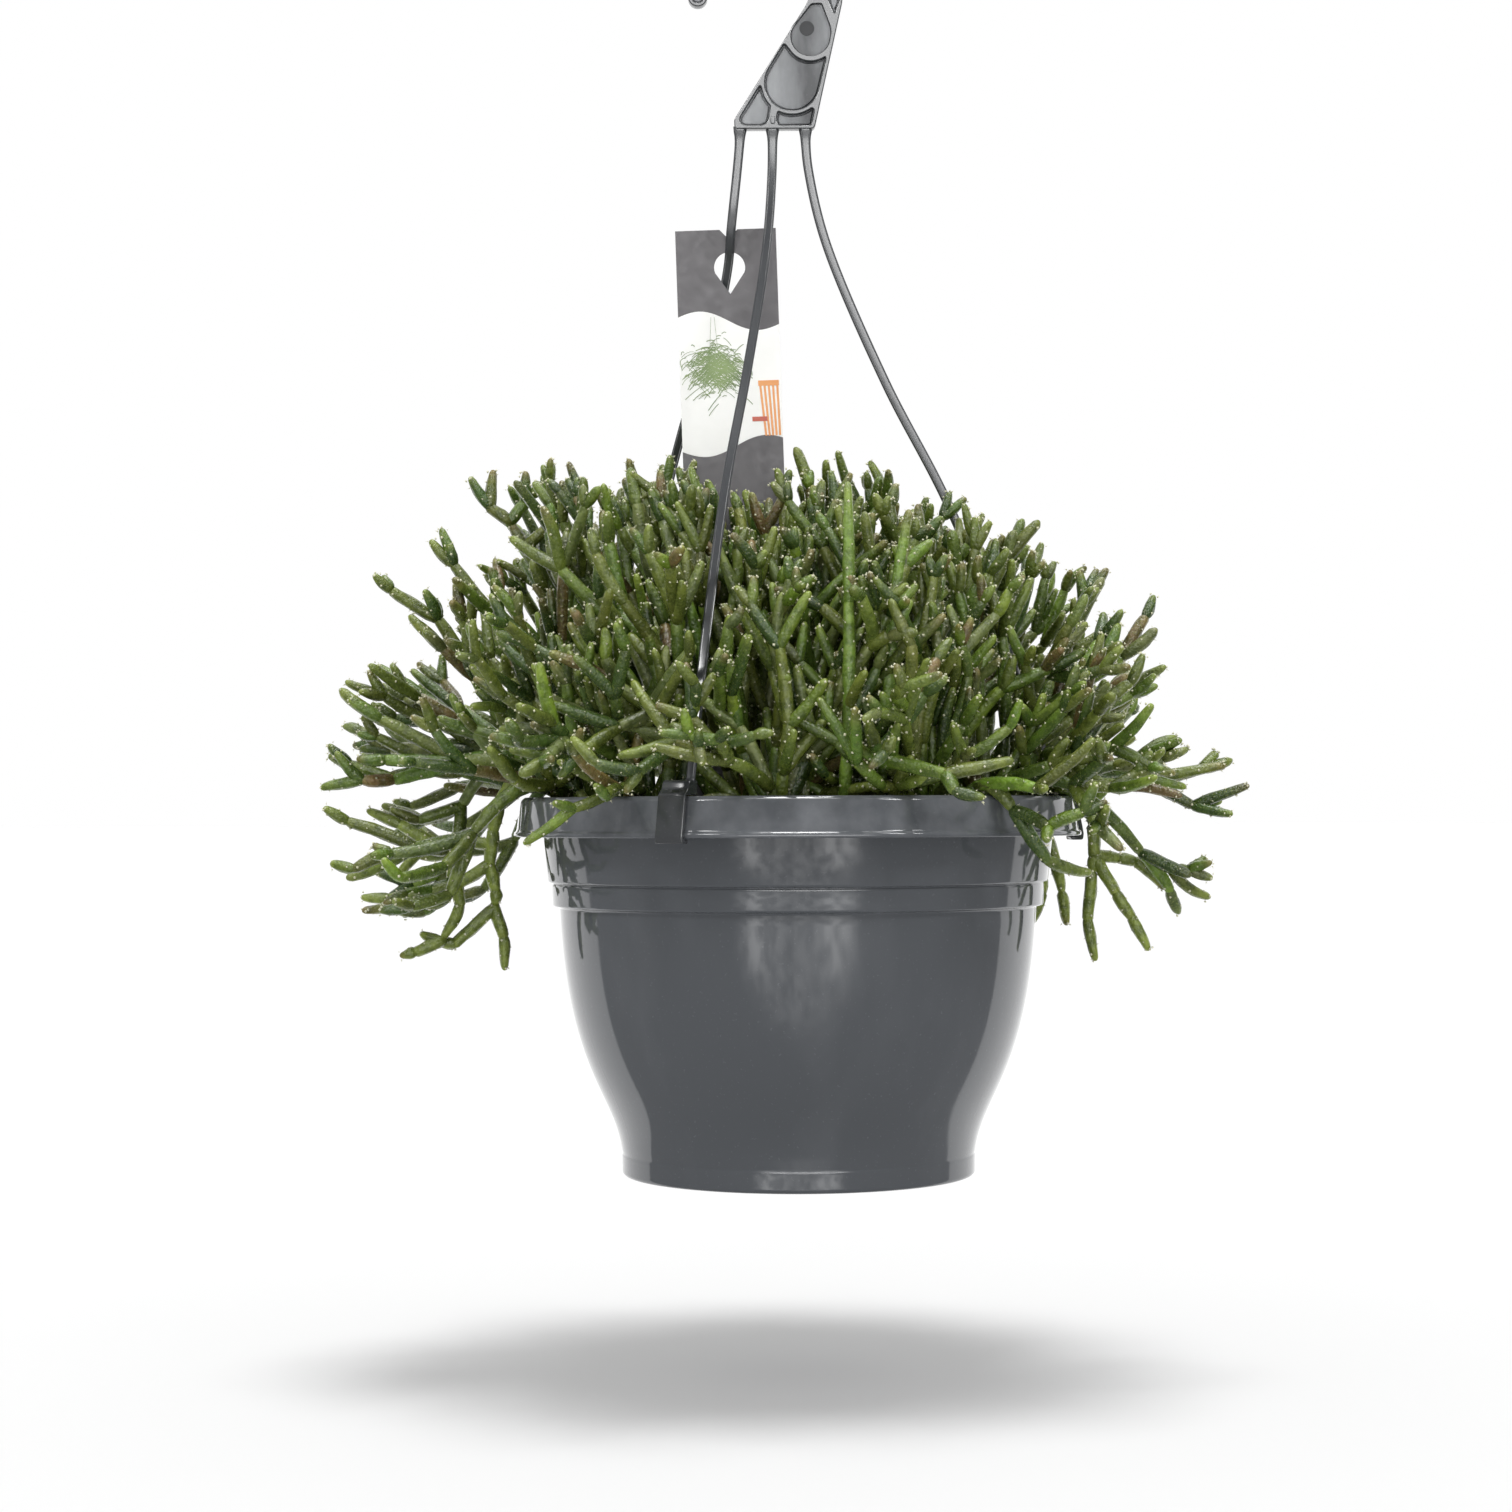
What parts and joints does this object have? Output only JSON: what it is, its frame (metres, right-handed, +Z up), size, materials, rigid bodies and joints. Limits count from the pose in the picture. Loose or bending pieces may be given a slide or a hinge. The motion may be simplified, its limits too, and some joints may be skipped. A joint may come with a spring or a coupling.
{
  "type": "potted rhipsalis in a hanging nursery pot",
  "caption": "Bushy mistletoe cactus with forking round stems, growing in a glossy dark grey bowl-shaped pot with a clip-on hook hanger and a stick-in label.",
  "frame": {"origin": "middle of the pot's flat underside", "axes": "+Z up along the pot's axis; -Y is the front, the side from which the hook's flat plate is seen face on with its tip to the left; +X is to the viewer's right"},
  "size_m": [0.376, 0.341, 0.538],
  "materials": {
    "pot_plastic": "gloss",
    "hanger_plastic": "satin",
    "potting_soil": "matte",
    "plug_peat": "matte",
    "label_card": "satin",
    "stem_green": "satin"
  },
  "bodies": {
    "root": {"cutting_01": "stem_green", "cutting_02": "stem_green", "cutting_03": "stem_green", "cutting_04": "stem_green", "cutting_05": "stem_green", "cutting_06": "stem_green", "cutting_07": "stem_green", "cutting_08": "stem_green", "cutting_09": "stem_green", "cutting_10": "stem_green", "cutting_11": "stem_green", "cutting_12": "stem_green", "cutting_13": "stem_green", "cutting_14": "stem_green", "hanger_arm_back_left": "hanger_plastic", "hanger_arm_front": "hanger_plastic", "hanger_arm_right": "hanger_plastic", "hanger_hook": "hanger_plastic", "plant_label": "label_card", "pot": "pot_plastic", "potting_soil": "potting_soil", "rim_clip_back_left": "hanger_plastic", "rim_clip_front": "hanger_plastic", "rim_clip_right": "hanger_plastic", "root_plug_01": "plug_peat", "root_plug_02": "plug_peat", "root_plug_03": "plug_peat", "root_plug_04": "plug_peat", "root_plug_05": "plug_peat", "root_plug_06": "plug_peat", "root_plug_07": "plug_peat", "root_plug_08": "plug_peat", "root_plug_09": "plug_peat", "root_plug_10": "plug_peat", "root_plug_11": "plug_peat", "root_plug_12": "plug_peat", "root_plug_13": "plug_peat", "root_plug_14": "plug_peat"}
  },
  "joints": []
}
